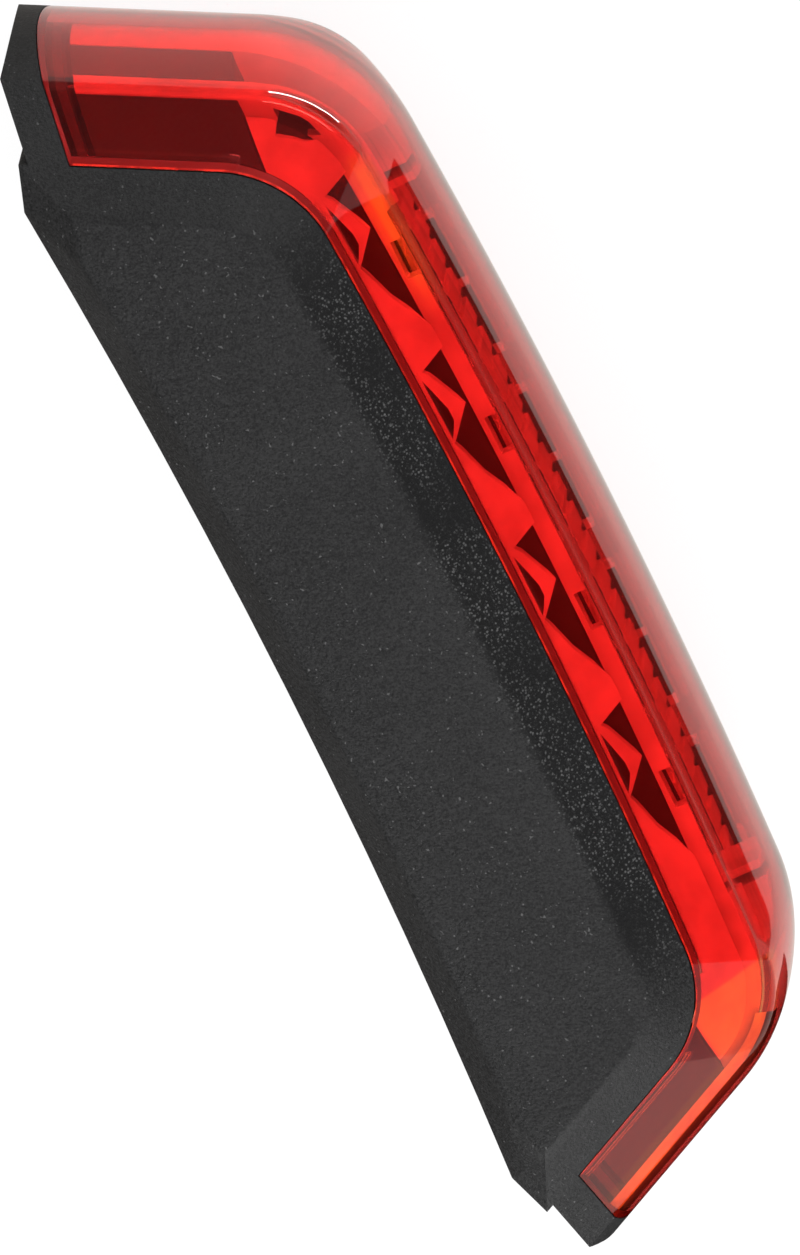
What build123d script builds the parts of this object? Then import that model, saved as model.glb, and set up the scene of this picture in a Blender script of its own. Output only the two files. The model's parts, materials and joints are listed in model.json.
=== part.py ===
from build123d import *
from math import cos, radians, sin, sqrt, tan
import os

# A rear light for a bicycle rack. X is its width, Z its height, and it shines towards -Y.
# The origin is midway between the two threaded inserts, on the mounting face at the back.
# A depth is a distance in front of that face, so it is measured along -Y.

# Outer shape, seen from above
housing_end_room = 20.9
front_room = 8.7
front_radius = 720.0
end_slant_angle = 63.3
corner_radius = 9.5
crown_corner_radius = 19.0
rim_back = 2.3
rim_scoop = 1.35
rim_depth = 3.1

# Outer shape, seen from the end
band_height = 5.1
pad_rise = 2.5
crown_bulge = 2.15

# Panels above and below
panel_front_inset = 5.2
panel_end_inset = 5.55
panel_corner_radius = 10.5
pad_chamfer = 3.7
pad_rear_chamfer = 2.6
pad_corner_radius = 7.2
pad_edge_radius = 0.8
rear_setback = 1.85
rear_radius = 665.0
rear_cut_depth = 1.6
rear_cut_width = 3.9

# Walls and fits
overrun = 5.0
lens_wall = 1.2
seam_gap = 0.1
shell_wall = 2.0
end_wall = 1.8
end_wall_room = 1.4
inner_gap = 0.15
slide_gap = 0.1
shaft_gap = 0.05

# Threaded mounting inserts
mount_spacing = 80.0
insert_radius = 3.5
insert_bore_radius = 2.1
insert_length = 8.0
insert_groove_depth = 0.4
insert_groove_width = 1.2
boss_wall = 1.5
boss_floor = 1.2
mount_pad_margin = 2.0

# Cells, lying one above the other
cell_radius = 5.25
cell_length = 44.5
cell_tip_length = 0.8
cell_tip_radius = 1.9
cell_back_room = 2.05
cell_between = 0.4
cell_gap = 0.25
cell_edge = 0.5

# Battery bay and its contacts
contact_room = 2.15
bay_wall = 0.9
bay_roof = 1.35
contact_thickness = 0.35
contact_width = 7.0
contact_height = 8.0
leaf_width = 4.0
leaf_length = 5.0

# Battery door, its seal and its screws
door_end_width = 6.5
door_side_width = 1.0
door_recess_depth = 2.2
door_corner_radius = 2.0
door_gap = 0.2
door_plug_gap = 0.15
door_plug_wall = 1.0
door_pocket_count = 4
door_seal_width = 0.6
door_seal_height = 0.5
grip_count = 5
grip_length = 7.0
grip_width = 0.6
grip_depth = 0.35
grip_pitch = 1.5
door_screw_inset = 3.0
door_screw_radius = 1.1
door_screw_length = 8.0
door_screw_head_radius = 2.1
door_screw_head_height = 1.2
door_screw_sink = 0.2
door_screw_boss_wall = 1.5
door_screw_boss_height = 8.8
screw_slot_width = 0.6
screw_slot_depth = 0.6

# Circuit board and what it carries
board_thickness = 1.2
board_end_room = 0.4
board_edge_room = 0.7
board_screw_inset = 4.4
board_screw_radius = 1.0
board_screw_length = 7.0
board_screw_head_radius = 1.9
board_screw_head_height = 0.8
board_post_wall = 1.5
lamp_count = 4
lamp_share = 0.54
lamp_size = 3.0
lamp_height = 0.7
lamp_dome_radius = 1.1
chip_x = 3.0
chip_inset = 4.6
chip_size = 5.0
chip_height = 0.9
capacitor_inset = 3.4
capacitor_radius = 2.6
capacitor_length = 7.0

# Button, its seal and the switch behind it
button_land = 0.8
button_board_room = 4.3
button_radius = 3.2
button_recess = 0.3
button_travel = 0.6
button_flange_cover = 1.0
button_flange_width = 0.7
button_flange_height = 0.8
button_stem_radius = 2.2
button_dish_radius = 5.5
button_dish_depth = 0.35
button_seal_height = 0.7
button_seal_groove = 0.5
button_seal_below = 1.1
switch_width = 4.0
switch_length = 4.4
switch_height = 3.4
switch_room = 3.1
plunger_radius = 0.7
plunger_offset = 0.9
plunger_board_room = 3.3
plunger_out = 1.0
plunger_in = 0.8

# Light guides, reflectors, front optic and black parts under the lens
guide_inset = 1.35
guide_width = 1.55
guide_drop = 0.7
guide_height = 1.5
guide_link_width = 0.45
guide_tail_extra = 0.65
tray_gap = 0.25
tray_thickness = 0.8
tray_inset = 2.4
optic_end_room = 21.8
optic_inset = 2.0
optic_plate = 1.2
optic_half_height = 5.5
optic_web_half_height = 1.5
end_bar_half_height = 3.1
optic_rib_pitch = 2.8
optic_rib_width = 0.9
optic_rib_depth = 0.4
carrier_gap = 0.6
carrier_wall = 1.3
carrier_plate_gap = 0.3
carrier_lap = 0.7
carrier_window_gap = 0.6
carrier_ledge_thickness = 0.7
channel_wall = 0.6
channel_floor = 0.5
channel_gap_width = 0.9
gasket_room = 0.5
gasket_depth = 0.7
gasket_thickness = 0.9
block_room = 0.6

# Zigzag of a reflector: shares of its pitch along it and of the tray's width across it
zigzag_end_room = 18.5
zigzag_pitch = 16.8
zigzag_count = 4
pocket_share = [
    (0, 1.1), (0.05, 0.24), (0.085, 0.37), (0.31, 0.82), (0.44, 0.16), (0.645, 0.45), (0.93, 1.1)
]
notch_share = [(0.085, 0.16), (0.28, 0.4), (0.34, 0.4), (0.42, 0.16)]
window_low_share = 0.44
window_high_share = 0.645
channel_gap_share = [(0, 0.055), (0.375, 0.67)]

# Notch of a light guide and its reflector at the left corner: shares of the light's half width and depth
corner_notch_share = [
    (0.79, 0.765), (0.766, 0.819), (0.761, 0.828), (0.751, 0.841), (0.725, 0.857),
    (0.734, 0.814), (0.745, 0.79), (0.759, 0.748), (0.773, 0.765)
]

# Width: the cells set the bay, the bay sets the door, and the button stands beside the door
bay_half_length = cell_length / 2 + contact_room
mouth_half_width = cell_radius + cell_gap
door_half_length = bay_half_length + door_end_width
door_half_width = mouth_half_width + door_side_width
door_screw_x = door_half_length - door_screw_inset
button_x = door_half_length + button_land + button_radius
plunger_x = button_x - plunger_offset
half_width = button_x + housing_end_room
leaf_rise = contact_room - contact_thickness - slide_gap
mount_x = mount_spacing / 2
boss_radius = insert_radius + boss_wall
boss_length = insert_length + boss_floor
mount_pad_radius = boss_radius + mount_pad_margin

# Depth: the cells lie behind the board, and the board behind the optics
cavity_back = rear_setback + shell_wall
cell_depth = cavity_back + cell_back_room + mouth_half_width
bay_front = cell_depth + mouth_half_width
board_depth = bay_front + bay_wall + slide_gap
board_front = board_depth + board_thickness
front_depth = board_front + front_room
lens_back = rim_back + rim_depth
gasket_back = lens_back + gasket_room
block_back = gasket_back + gasket_depth + block_room
block_front = board_front - slide_gap
tray_back = board_front + slide_gap
carrier_back = board_depth - carrier_lap
end_wall_front = board_depth - end_wall_room
button_depth = board_depth - button_board_room
plunger_depth = board_depth - plunger_board_room

# Height: two cells and the bay's roof fit between the panels
cell_z = cell_radius + cell_between / 2
bay_top = cell_z + cell_radius + cell_gap
plate_inside = bay_top + bay_roof
panel_height = plate_inside + shell_wall
pad_height = panel_height + pad_rise
corner_height = panel_height - band_height
recess_z = pad_height - door_recess_depth
button_face_z = pad_height - button_recess
flange_z = plate_inside + button_flange_cover
button_flange_radius = button_radius + button_flange_width
stem_z = flange_z - button_flange_height
switch_bottom = plate_inside - switch_room
plunger_z = switch_bottom + plunger_out
guide_top = corner_height - guide_drop
carrier_half_height = plate_inside - carrier_plate_gap
carrier_window = lamp_size + 2 * carrier_window_gap

# The board and its screws
board_half_length = plunger_x + switch_width / 2 + board_end_room
board_half_height = plate_inside - board_edge_room
board_post_radius = board_screw_radius + board_post_wall
board_screw_x = bay_half_length + board_post_radius + slide_gap
board_screw_z = board_half_height - board_screw_inset
chip_z = board_half_height - chip_inset
capacitor_x = board_half_length - capacitor_inset
optic_half_length = half_width - optic_end_room
zigzag_first_x = half_width - zigzag_end_room
lamp_first_x = zigzag_first_x - lamp_share * zigzag_pitch
lamp_xs = [lamp_first_x - number * zigzag_pitch for number in range(lamp_count)]

slant = radians(end_slant_angle)
band_slope = band_height / panel_front_inset


def drop(inset):
    # How far the side band sinks in Z when it is moved inwards by inset, square to itself.
    return inset * sqrt(1 + band_slope**2)


def half_at(end_inset, depth):
    # Half the width at a depth, between the slanted ends moved inwards by end_inset.
    return half_width - end_inset / sin(slant) - (depth - rim_back) / tan(slant)


def corner_points(front_inset, end_inset, corner):
    # Where the rounded corner on the +X side starts, passes its middle and ends.
    along = Vector(-cos(slant), -sin(slant))
    inward = Vector(-sin(slant), cos(slant))
    end_point = Vector(half_at(end_inset, rim_back), -rim_back)
    bend = front_radius - front_inset
    bend_centre = Vector(0, bend - front_depth + front_inset)
    line_start = end_point + inward * corner
    reach = line_start - bend_centre
    half_b = along.dot(reach)
    step = -half_b + sqrt(half_b**2 - reach.dot(reach) + (bend - corner) ** 2)
    centre = line_start + along * step
    outward = (centre - bend_centre).normalized()
    first = centre - inward * corner
    last = centre + outward * corner
    middle = centre + (outward - inward).normalized() * corner
    return first, middle, last


def mirrored(point):
    return Vector(-point.X, point.Y)


def draw_front(front_inset, end_inset, corner):
    # The front arc with its two corners, from the +X end to the -X end.
    first, middle, last = corner_points(front_inset, end_inset, corner)
    ThreePointArc(first, middle, last)
    ThreePointArc(last, (0, front_inset - front_depth), mirrored(last))
    ThreePointArc(mirrored(last), mirrored(middle), mirrored(first))
    return first


def draw_outline(front_inset, end_inset, corner, back):
    # A closed outline with a straight back at a depth.
    first = draw_front(front_inset, end_inset, corner)
    back_point = Vector(half_at(end_inset, back), -back)
    Polyline(mirrored(first), mirrored(back_point), back_point, first)


def outline(height, *shape):
    with BuildSketch(Plane.XY.offset(height)) as drawn:
        with BuildLine():
            draw_outline(*shape)
        make_face()
    return drawn.sketch


def wall_outline(height, outer_shape, inner_shape):
    # The space between two outlines, open at the back.
    with BuildSketch(Plane.XY.offset(height)) as drawn:
        with BuildLine():
            draw_outline(*outer_shape, lens_back)
        make_face()
        with BuildLine():
            draw_outline(*inner_shape, lens_back - overrun)
        make_face(mode=Mode.SUBTRACT)
    return drawn.sketch


def panel_outline(height, inset, rear_inset, corner):
    # The panel's outline: the front and ends as the lens, a hollow rear, and cut rear corners.
    front_inset = panel_front_inset + inset
    end_inset = panel_end_inset + inset
    cut_depth = rear_cut_depth + rear_inset
    cut_point = Vector(half_at(end_inset, cut_depth), -cut_depth)
    rear_x = cut_point.X - rear_cut_width
    rear_y = rear_x**2 / (2 * rear_radius) - rear_setback - rear_inset
    with BuildSketch(Plane.XY.offset(height)) as drawn:
        with BuildLine():
            first = draw_front(front_inset, end_inset, corner)
            Polyline(mirrored(first), mirrored(cut_point), (-rear_x, rear_y))
            ThreePointArc((-rear_x, rear_y), (0, -rear_setback - rear_inset), (rear_x, rear_y))
            Polyline((rear_x, rear_y), cut_point, first)
        make_face()
    return drawn.sketch


def band_shape(inset):
    return inset, inset, corner_radius - inset / 2


def band_outline(height, inset, back):
    return outline(height, *band_shape(inset), back)


def panel_edge_outline(height, gap, back):
    return outline(
        height, panel_front_inset - gap, panel_end_inset - gap, panel_corner_radius + gap, back
    )


def lens_form(inset, back, mode=Mode.ADD):
    # The closed form of the lens, moved inwards by inset: a bulging crown between two side bands.
    crown_z = corner_height + band_slope * inset - drop(inset)
    top_z = panel_height - drop(inset)
    mid_inset = inset - crown_bulge
    middle = outline(0, mid_inset, mid_inset, crown_corner_radius - inset, back)
    lower, upper = (band_outline(side * crown_z, inset, back) for side in (-1, 1))
    loft([lower, middle, upper], mode=mode)
    for side, corner_section in ((-1, lower), (1, upper)):
        loft([corner_section, panel_edge_outline(side * top_z, 0, back)], ruled=True, mode=mode)


def panel_prism(gap, back, mode=Mode.SUBTRACT):
    # Everything inside the panel's edge, from below the light to above it.
    extrude(panel_edge_outline(0, gap, back), amount=panel_height + overrun, both=True, mode=mode)


def keep_box(x_low, x_high, depth_low, depth_high, z_low, z_high, mode=Mode.INTERSECT):
    # Keeps, adds or cuts a box given by its limits.
    with BuildSketch(Plane.XY.offset(z_low)) as drawn:
        with Locations(((x_low + x_high) / 2, -(depth_low + depth_high) / 2)):
            Rectangle(x_high - x_low, depth_high - depth_low)
    extrude(drawn.sketch, amount=z_high - z_low, mode=mode)


def rod(plane, radius, length, mode=Mode.ADD):
    with BuildSketch(plane) as drawn:
        Circle(radius)
    extrude(drawn.sketch, amount=length, mode=mode)


def facing_back(x, depth, z):
    # A plane at a depth that faces the mounting side.
    return Plane(origin=(x, -depth, z), x_dir=(-1, 0, 0), z_dir=(0, 1, 0))


def facing_front(x, depth, z):
    return Plane(origin=(x, -depth, z), x_dir=(1, 0, 0), z_dir=(0, -1, 0))


def below_plane(x, depth, z):
    # A plane below the middle at a distance z, facing up.
    return Plane((x, -depth, -z))


def finish(part, name, colour):
    part.label = name
    part.color = Color(*colour)
    export_step(part, f"parts/{name}.step")


black = (0.08, 0.08, 0.085)
red = (0.8, 0.05, 0.06)
white = (0.9, 0.88, 0.86)
metal = (0.75, 0.72, 0.66)
brass = (0.8, 0.66, 0.32)
green = (0.1, 0.35, 0.2)
os.makedirs("parts", exist_ok=True)

# Rims: the black ends behind the lens, cut from the same form as the lens
with BuildPart() as rims:
    lens_form(0, rim_back)
    rim_front = lens_back - seam_gap
    keep_box(-half_width * 2, half_width * 2, 0, rim_front, -panel_height, panel_height)
    rim_inner = half_at(panel_end_inset + end_wall, rim_back)
    keep_box(-rim_inner, rim_inner, 0, lens_back, -panel_height, panel_height, Mode.SUBTRACT)
    # A hollow along the back of each rim, deepest at mid height
    scoop_radius = (corner_height**2 + rim_scoop**2) / (2 * rim_scoop)
    scoop_centre = (-half_width * 2, scoop_radius - rim_scoop - rim_back, 0)
    rod(Plane(origin=scoop_centre, z_dir=(1, 0, 0)), scoop_radius, half_width * 4, Mode.SUBTRACT)

# Housing: the black shell with its two chamfered pads, rims, bosses, bay and door recess
with BuildPart() as housing:
    extrude(panel_outline(0, 0, 0, panel_corner_radius), amount=panel_height, both=True)
    for side in (1, -1):
        foot = panel_outline(side * panel_height, 0, 0, panel_corner_radius)
        top = panel_outline(side * pad_height, pad_chamfer, pad_rear_chamfer, pad_corner_radius)
        loft([foot, top], ruled=True)
    pad_edges = housing.edges().filter_by(lambda edge: abs(edge.center().Z) > pad_height - slide_gap)
    fillet(pad_edges, pad_edge_radius)
    add(rims.part)
    # Hollow between the plates, with end walls that stop short of the front
    hollow = outline(0, -overrun, panel_end_inset + end_wall, panel_corner_radius, cavity_back)
    extrude(hollow, amount=plate_inside, both=True, mode=Mode.SUBTRACT)
    keep_box(
        -half_width, half_width, end_wall_front, front_depth, -plate_inside, plate_inside, Mode.SUBTRACT
    )
    # Bosses for the inserts, and the flat pads round them that the rack bears on
    for side in (1, -1):
        rod(facing_back(side * mount_x, boss_length, 0), boss_radius, boss_length)
        rod(facing_back(side * mount_x, shell_wall, 0), mount_pad_radius, shell_wall)
        rod(facing_back(side * mount_x, insert_length, 0), insert_radius, insert_length, Mode.SUBTRACT)
    # Battery bay: a front wall, two side walls and a roof over the upper cell
    bay_half = bay_half_length + bay_wall
    front_half = bay_half_length - contact_thickness - slide_gap
    keep_box(
        -front_half, front_half, bay_front, bay_front + bay_wall, -plate_inside, plate_inside, Mode.ADD
    )
    for low, high in ((-bay_half, -bay_half_length), (bay_half_length, bay_half)):
        keep_box(low, high, cavity_back, bay_front + bay_wall, -plate_inside, plate_inside, Mode.ADD)
    keep_box(-front_half, front_half, cavity_back, bay_front, bay_top, plate_inside, Mode.ADD)
    # Posts for the board's screws
    for side in (1, -1):
        post = board_depth - cavity_back
        rod(facing_back(side * board_screw_x, board_depth, board_screw_z), board_post_radius, post)
        rod(
            facing_back(side * board_screw_x, board_depth, board_screw_z),
            board_screw_radius,
            board_screw_length,
            Mode.SUBTRACT,
        )
    # Posts for the door's screws
    with BuildSketch(Plane.XY.offset(-plate_inside)):
        with Locations((door_screw_x, -cell_depth), (-door_screw_x, -cell_depth)):
            Circle(door_screw_radius + door_screw_boss_wall)
    extrude(amount=door_screw_boss_height)
    # Recess for the door, and the mouth of the bay in its floor
    with BuildSketch(Plane.XY.offset(-pad_height)):
        with Locations((0, -cell_depth)):
            RectangleRounded(2 * door_half_length, 2 * door_half_width, door_corner_radius)
    extrude(amount=door_recess_depth, mode=Mode.SUBTRACT)
    with BuildSketch(Plane.XY.offset(-pad_height)):
        with Locations((0, -cell_depth)):
            Rectangle(2 * bay_half_length, 2 * mouth_half_width)
    extrude(amount=pad_height - plate_inside, mode=Mode.SUBTRACT)
    # Holes for the door's screws
    with BuildSketch(Plane.XY.offset(-recess_z)):
        with Locations((door_screw_x, -cell_depth), (-door_screw_x, -cell_depth)):
            Circle(door_screw_radius + shaft_gap)
    extrude(amount=door_screw_length, mode=Mode.SUBTRACT)
    # Hole for the button, wider inside for its flange
    bore = below_plane(button_x, button_depth, pad_height)
    rod(bore, button_radius + slide_gap, pad_height - plate_inside, Mode.SUBTRACT)
    seat = below_plane(button_x, button_depth, flange_z)
    rod(seat, button_flange_radius + slide_gap, button_flange_cover, Mode.SUBTRACT)
finish(housing.part, "housing", black)

# Lens: the red cover, open at the back and along the panels
with BuildPart() as lens:
    lens_form(0, lens_back)
    lens_form(lens_wall, lens_back - overrun, Mode.SUBTRACT)
    panel_prism(seam_gap, lens_back - overrun)
finish(lens.part, "lens", red)

# Gaskets: dark seals inside the lens, near its back edge
for side, name in ((1, "gasket_left"), (-1, "gasket_right")):
    with BuildPart() as gasket:
        lens_form(lens_wall + seam_gap / 2, gasket_back)
        lens_form(lens_wall + gasket_thickness, gasket_back - overrun, Mode.SUBTRACT)
        panel_prism(seam_gap, gasket_back - overrun)
        low, high = sorted((0, side * half_width * 2))
        keep_box(low, high, gasket_back, gasket_back + gasket_depth, -panel_height, panel_height)
    finish(gasket.part, name, black)

# Inserts: two brass bushes with a groove round their middle, pressed into the bosses
with BuildPart() as mount_inserts:
    for side in (1, -1):
        rod(facing_back(side * mount_x, insert_length, 0), insert_radius, insert_length)
        groove_plane = facing_back(side * mount_x, (insert_length + insert_groove_width) / 2, 0)
        with BuildSketch(groove_plane) as groove:
            Circle(insert_radius)
            Circle(insert_radius - insert_groove_depth, mode=Mode.SUBTRACT)
        extrude(groove.sketch, amount=insert_groove_width, mode=Mode.SUBTRACT)
        rod(
            facing_back(side * mount_x, insert_length, 0),
            insert_bore_radius,
            insert_length,
            Mode.SUBTRACT,
        )
finish(mount_inserts.part, "mount_inserts", brass)

# Cells: a can with rounded edges, and the raised tip at one end
for name, z, way in (("battery_upper", cell_z, 1), ("battery_lower", -cell_z, -1)):
    with BuildPart() as cell:
        can_length = cell_length - cell_tip_length
        rod(
            Plane(origin=(-way * cell_length / 2, -cell_depth, z), z_dir=(way, 0, 0)),
            cell_radius,
            can_length,
        )
        fillet(cell.edges().filter_by(GeomType.CIRCLE), cell_edge)
        rod(
            Plane(origin=(way * (cell_length / 2 - cell_tip_length), -cell_depth, z), z_dir=(way, 0, 0)),
            cell_tip_radius,
            cell_tip_length,
        )
    finish(cell.part, name, metal)


def contact(side, zs, low_z, high_z, front):
    # A strip along the bay's end wall, with a bent leaf that reaches the end of each cell.
    wall_x = side * bay_half_length
    plate_x = side * (bay_half_length - contact_thickness)
    near, far = sorted((wall_x, plate_x))
    with BuildPart() as strip:
        keep_box(near, far, cell_depth - contact_width / 2, front, low_z, high_z, Mode.ADD)
        for z in zs:
            peak_x = plate_x - side * leaf_rise
            under_x = peak_x + side * contact_thickness
            half = leaf_length / 2
            with BuildSketch(Plane.XY.offset(z - leaf_width / 2)) as leaf:
                with Locations((0, -cell_depth)):
                    Polygon(
                        (plate_x, half),
                        (peak_x, 0),
                        (plate_x, -half),
                        (plate_x, contact_thickness - half),
                        (under_x, 0),
                        (plate_x, half - contact_thickness),
                        align=None,
                    )
            extrude(leaf.sketch, amount=leaf_width)
    return strip.part


single = contact_height / 2
half_strip = cell_z + single
link_front = cell_depth + contact_width / 2
finish(contact(-1, (cell_z, -cell_z), -half_strip, half_strip, link_front), "contact_link", metal)
finish(contact(1, (cell_z,), cell_z - single, cell_z + single, board_depth), "contact_positive", metal)
finish(contact(1, (-cell_z,), -cell_z - single, single - cell_z, board_depth), "contact_negative", metal)

# Battery door: a plate in the recess, with a hollow plug that closes the bay under the lower cell
with BuildPart() as battery_door:
    with BuildSketch(Plane.XY.offset(-pad_height)):
        with Locations((0, -cell_depth)):
            RectangleRounded(
                2 * (door_half_length - door_gap),
                2 * (door_half_width - door_gap),
                door_corner_radius - door_gap,
            )
    extrude(amount=door_recess_depth)
    plug_length = 2 * (bay_half_length - door_plug_gap)
    plug_width = 2 * (mouth_half_width - door_plug_gap)
    with BuildSketch(Plane.XY.offset(-recess_z)):
        with Locations((0, -cell_depth)):
            Rectangle(plug_length, plug_width)
    extrude(amount=recess_z - bay_top)
    # Pockets that leave a wall round the plug and ribs across it
    pocket_pitch = (plug_length - door_plug_wall) / door_pocket_count
    with BuildSketch(Plane.XY.offset(-recess_z)):
        with Locations((0, -cell_depth)):
            with GridLocations(pocket_pitch, 0, door_pocket_count, 1):
                Rectangle(pocket_pitch - door_plug_wall, plug_width - 2 * door_plug_wall)
    extrude(amount=recess_z - bay_top, mode=Mode.SUBTRACT)
    # Rebate for the seal, round the plug
    with BuildSketch(Plane.XY.offset(-recess_z - door_seal_height)) as seal_ring:
        with Locations((0, -cell_depth)):
            Rectangle(plug_length + 2 * door_seal_width, plug_width + 2 * door_seal_width)
            Rectangle(plug_length, plug_width, mode=Mode.SUBTRACT)
    extrude(amount=door_seal_height, mode=Mode.SUBTRACT)
    # Holes for the screws, with sunk seats for their heads
    for side in (1, -1):
        screw_plane = below_plane(side * door_screw_x, cell_depth, pad_height)
        seat_height = door_screw_head_height + door_screw_sink
        rod(screw_plane, door_screw_radius + slide_gap, door_recess_depth, Mode.SUBTRACT)
        rod(screw_plane, door_screw_head_radius + slide_gap, seat_height, Mode.SUBTRACT)
    # Grip grooves in the outer face
    with BuildSketch(Plane.XY.offset(-pad_height)):
        with Locations((-bay_half_length / 2, -cell_depth)):
            with GridLocations(grip_pitch, 0, grip_count, 1):
                SlotOverall(grip_length, grip_width, rotation=90)
    extrude(amount=grip_depth, mode=Mode.SUBTRACT)
finish(battery_door.part, "battery_door", black)

with BuildPart() as door_seal:
    extrude(seal_ring.sketch, amount=door_seal_height)
finish(door_seal.part, "door_seal", black)

# Door screws: flat heads with a cross cut in them, and plain shanks
with BuildPart() as door_screws:
    for side in (1, -1):
        head_z = pad_height - door_screw_sink
        head_plane = below_plane(side * door_screw_x, cell_depth, head_z)
        rod(head_plane, door_screw_head_radius, door_screw_head_height)
        shank_plane = below_plane(side * door_screw_x, cell_depth, head_z - door_screw_head_height)
        rod(shank_plane, door_screw_radius, door_screw_length)
        with BuildSketch(head_plane) as cross:
            Rectangle(2 * door_screw_radius, screw_slot_width)
            Rectangle(screw_slot_width, 2 * door_screw_radius)
        extrude(cross.sketch, amount=screw_slot_depth, mode=Mode.SUBTRACT)
finish(door_screws.part, "door_screws", metal)

# Circuit board on its two posts
with BuildPart() as circuit_board:
    keep_box(
        -board_half_length,
        board_half_length,
        board_depth,
        board_front,
        -board_half_height,
        board_half_height,
        Mode.ADD,
    )
    for side in (1, -1):
        rod(
            facing_back(side * board_screw_x, board_front, board_screw_z),
            board_screw_radius + slide_gap,
            board_thickness,
            Mode.SUBTRACT,
        )
finish(circuit_board.part, "circuit_board", green)

with BuildPart() as board_screws:
    for side in (1, -1):
        head_depth = board_front + board_screw_head_height
        rod(
            facing_back(side * board_screw_x, head_depth, board_screw_z),
            board_screw_head_radius,
            board_screw_head_height,
        )
        rod(
            facing_back(side * board_screw_x, board_front, board_screw_z),
            board_screw_radius,
            board_screw_length,
        )
finish(board_screws.part, "board_screws", metal)

# Lamps: a square body with a small dome, one behind each window
for number, lamp_x in enumerate(lamp_xs, start=1):
    with BuildPart() as lamp:
        low, high = lamp_x - lamp_size / 2, lamp_x + lamp_size / 2
        lamp_front = board_front + lamp_height
        keep_box(low, high, board_front, lamp_front, -lamp_size / 2, lamp_size / 2, Mode.ADD)
        with BuildSketch(facing_front(lamp_x, lamp_front, 0)):
            Circle(lamp_dome_radius)
        extrude(amount=lamp_dome_radius / 2)
        fillet(lamp.edges().filter_by(GeomType.CIRCLE).sort_by(Axis.Y)[0], lamp_dome_radius / 3)
    finish(lamp.part, f"led_{number}", white)

# Controller chip on the front of the board, capacitor on its back
with BuildPart() as controller_chip:
    low, high = chip_x - chip_size / 2, chip_x + chip_size / 2
    chip_front = board_front + chip_height
    keep_box(low, high, board_front, chip_front, chip_z - chip_size / 2, chip_z + chip_size / 2, Mode.ADD)
finish(controller_chip.part, "controller_chip", black)

with BuildPart() as capacitor:
    rod(facing_back(-capacitor_x, board_depth, 0), capacitor_radius, capacitor_length)
    fillet(capacitor.edges().filter_by(GeomType.CIRCLE).sort_by(Axis.Y)[-1], cell_edge)
finish(capacitor.part, "capacitor", metal)

# Switch on the back of the board, with a hole for its plunger
with BuildPart() as mode_switch:
    low, high = plunger_x - switch_width / 2, plunger_x + switch_width / 2
    switch_top = switch_height - switch_bottom
    keep_box(low, high, board_depth - switch_length, board_depth, -switch_bottom, switch_top, Mode.ADD)
    rod(
        below_plane(plunger_x, plunger_depth, switch_bottom),
        plunger_radius + slide_gap,
        plunger_in + button_travel + slide_gap,
        Mode.SUBTRACT,
    )
finish(mode_switch.part, "mode_switch", black)

with BuildPart() as switch_plunger:
    rod(below_plane(plunger_x, plunger_depth, plunger_z), plunger_radius, plunger_out + plunger_in)
finish(switch_plunger.part, "switch_plunger", white)

# Button: a dished cap, a flange that holds it in, and a stem up to the plunger
with BuildPart() as button:
    rod(below_plane(button_x, button_depth, button_face_z), button_radius, button_face_z - flange_z)
    rod(below_plane(button_x, button_depth, flange_z), button_flange_radius, button_flange_height)
    rod(below_plane(button_x, button_depth, stem_z), button_stem_radius, stem_z - plunger_z)
    dish_z = button_dish_depth - button_dish_radius - button_face_z
    with Locations((button_x, -button_depth, dish_z)):
        Sphere(button_dish_radius, mode=Mode.SUBTRACT)
    seal_plane = below_plane(button_x, button_depth, button_face_z - button_seal_below)
    with BuildSketch(seal_plane) as seal_groove:
        Circle(button_radius)
        Circle(button_radius - button_seal_groove, mode=Mode.SUBTRACT)
    extrude(seal_groove.sketch, amount=button_seal_height, mode=Mode.SUBTRACT)
finish(button.part, "button", black)

with BuildPart() as button_seal:
    with BuildSketch(seal_plane):
        Circle(button_radius + shaft_gap)
        Circle(button_radius - button_seal_groove, mode=Mode.SUBTRACT)
    extrude(amount=button_seal_height)
finish(button_seal.part, "button_seal", black)


def strip_wall(inset, width, low_z, high_z, mode=Mode.ADD):
    # A wall that follows the lens round its front and ends, at an inset from the near corner.
    ring = wall_outline(low_z, band_shape(inset), band_shape(inset + width))
    extrude(ring, amount=high_z - low_z, mode=mode)


def copy_below(part):
    with BuildPart() as copy:
        mirror(part, about=Plane.XY)
    return copy.part


def front_point(start_x, along_share, across_share):
    # A point of one zigzag, from the panel's edge at 0 to the tray's outer edge at 1.
    x = start_x - along_share * zigzag_pitch
    inset = panel_front_inset - across_share * (panel_front_inset - tray_inset)
    return x, inset - front_depth + x**2 / (2 * front_radius)


def front_line(x):
    # The depth of the lens's near corner along the front, at a place along X.
    return front_depth - x**2 / (2 * front_radius)


def keep_front(x_low, x_high, depth_low):
    # Keeps what lies in front of a depth, between two places along X.
    keep_box(x_low, x_high, depth_low, front_depth + overrun, -pad_height, pad_height)


def corner_notch(bottom, height):
    # Cuts the notch at the left corner out of the part being built.
    with BuildSketch(Plane.XY.offset(bottom)) as notch:
        Polygon(*[(x * half_width, -y * front_depth) for x, y in corner_notch_share], align=None)
    extrude(notch.sketch, amount=height, mode=Mode.SUBTRACT)


zigzag_starts = [zigzag_first_x - number * zigzag_pitch for number in range(zigzag_count)]

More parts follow.
